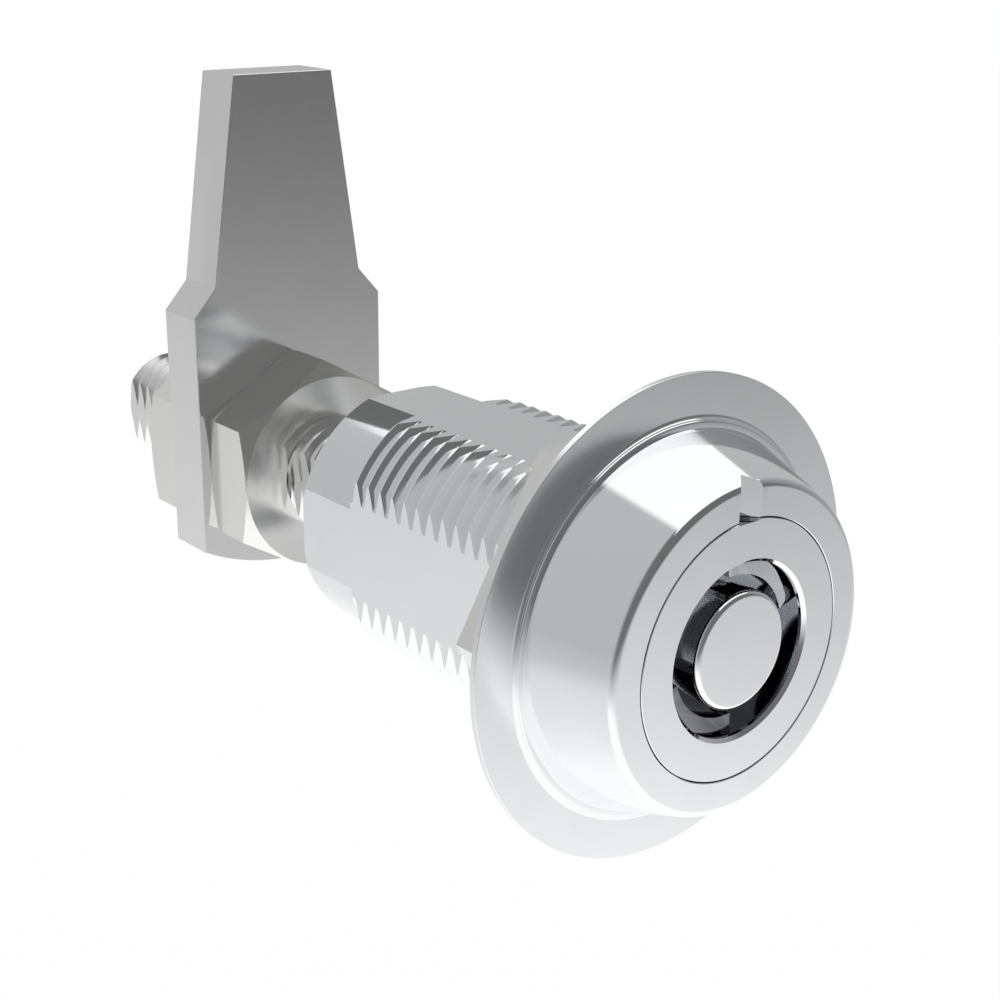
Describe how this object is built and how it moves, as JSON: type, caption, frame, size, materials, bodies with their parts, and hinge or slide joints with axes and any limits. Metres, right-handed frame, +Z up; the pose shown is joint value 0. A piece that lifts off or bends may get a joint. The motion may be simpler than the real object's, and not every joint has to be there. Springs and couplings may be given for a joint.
{
  "type": "compression latch",
  "caption": "Turn-and-pull panel latch: round flanged head with a keyed plug, threaded barrel with panel nut, and a long flat cam locked by two nuts on a two-flat threaded shaft",
  "frame": {"origin": "on the latch's axis, in the plane of the flange's back face, where the panel's front would be", "axes": "+Y along the latch from the head to the shaft's rear end, +Z up along the cam at rest, +X to the right seen from the front"},
  "size_m": [0.035, 0.0763, 0.0508],
  "materials": {
    "polished_metal": "polished",
    "warm_nickel": "satin",
    "cam_steel": "polished flat plate",
    "nut_steel": "polished",
    "shaft_steel": "polished",
    "inner_steel": "machined",
    "spring_steel": "phosphated",
    "bush_brass": "machined",
    "black_rubber": "matte",
    "pale_plastic": "matte"
  },
  "bodies": {
    "housing_group": {"housing": "polished_metal", "gasket": "black_rubber", "mounting_nut": "warm_nickel", "track_bush": "bush_brass", "thrust_washer": "pale_plastic", "barrel_clip": "spring_steel"},
    "guide_group": {"rear_guide": "inner_steel", "return_spring": "spring_steel"},
    "plug_group": {"face_ring": "polished_metal", "drive_plug": "inner_steel", "key_post": "polished_metal", "plug_o_ring": "black_rubber", "drive_sleeve": "inner_steel", "sleeve_clip": "spring_steel"},
    "shaft_group": {"shaft": "shaft_steel", "cross_pin": "inner_steel", "front_nut": "nut_steel", "cam": "cam_steel", "rear_nut": "nut_steel"}
  },
  "joints": [
    {"name": "cam_swing", "type": "hinge", "parent": "housing_group", "child": "guide_group", "pos_m": [0, 0, 0], "axis": [0, 1, 0], "range_deg": [0, 90]},
    {"name": "plug_turn", "type": "hinge", "parent": "guide_group", "child": "plug_group", "pos_m": [0, 0, 0], "axis": [0, 1, 0], "range_deg": [0, 90]},
    {"name": "shaft_pull", "type": "slide", "parent": "guide_group", "child": "shaft_group", "axis": [0, -1, 0], "range_m": [0, 0.006], "deforming": ["return_spring"]}
  ],
  "couplings": [
    {"joint": "plug_turn", "follows": "shaft_pull", "rad_per_m": 261.8}
  ]
}
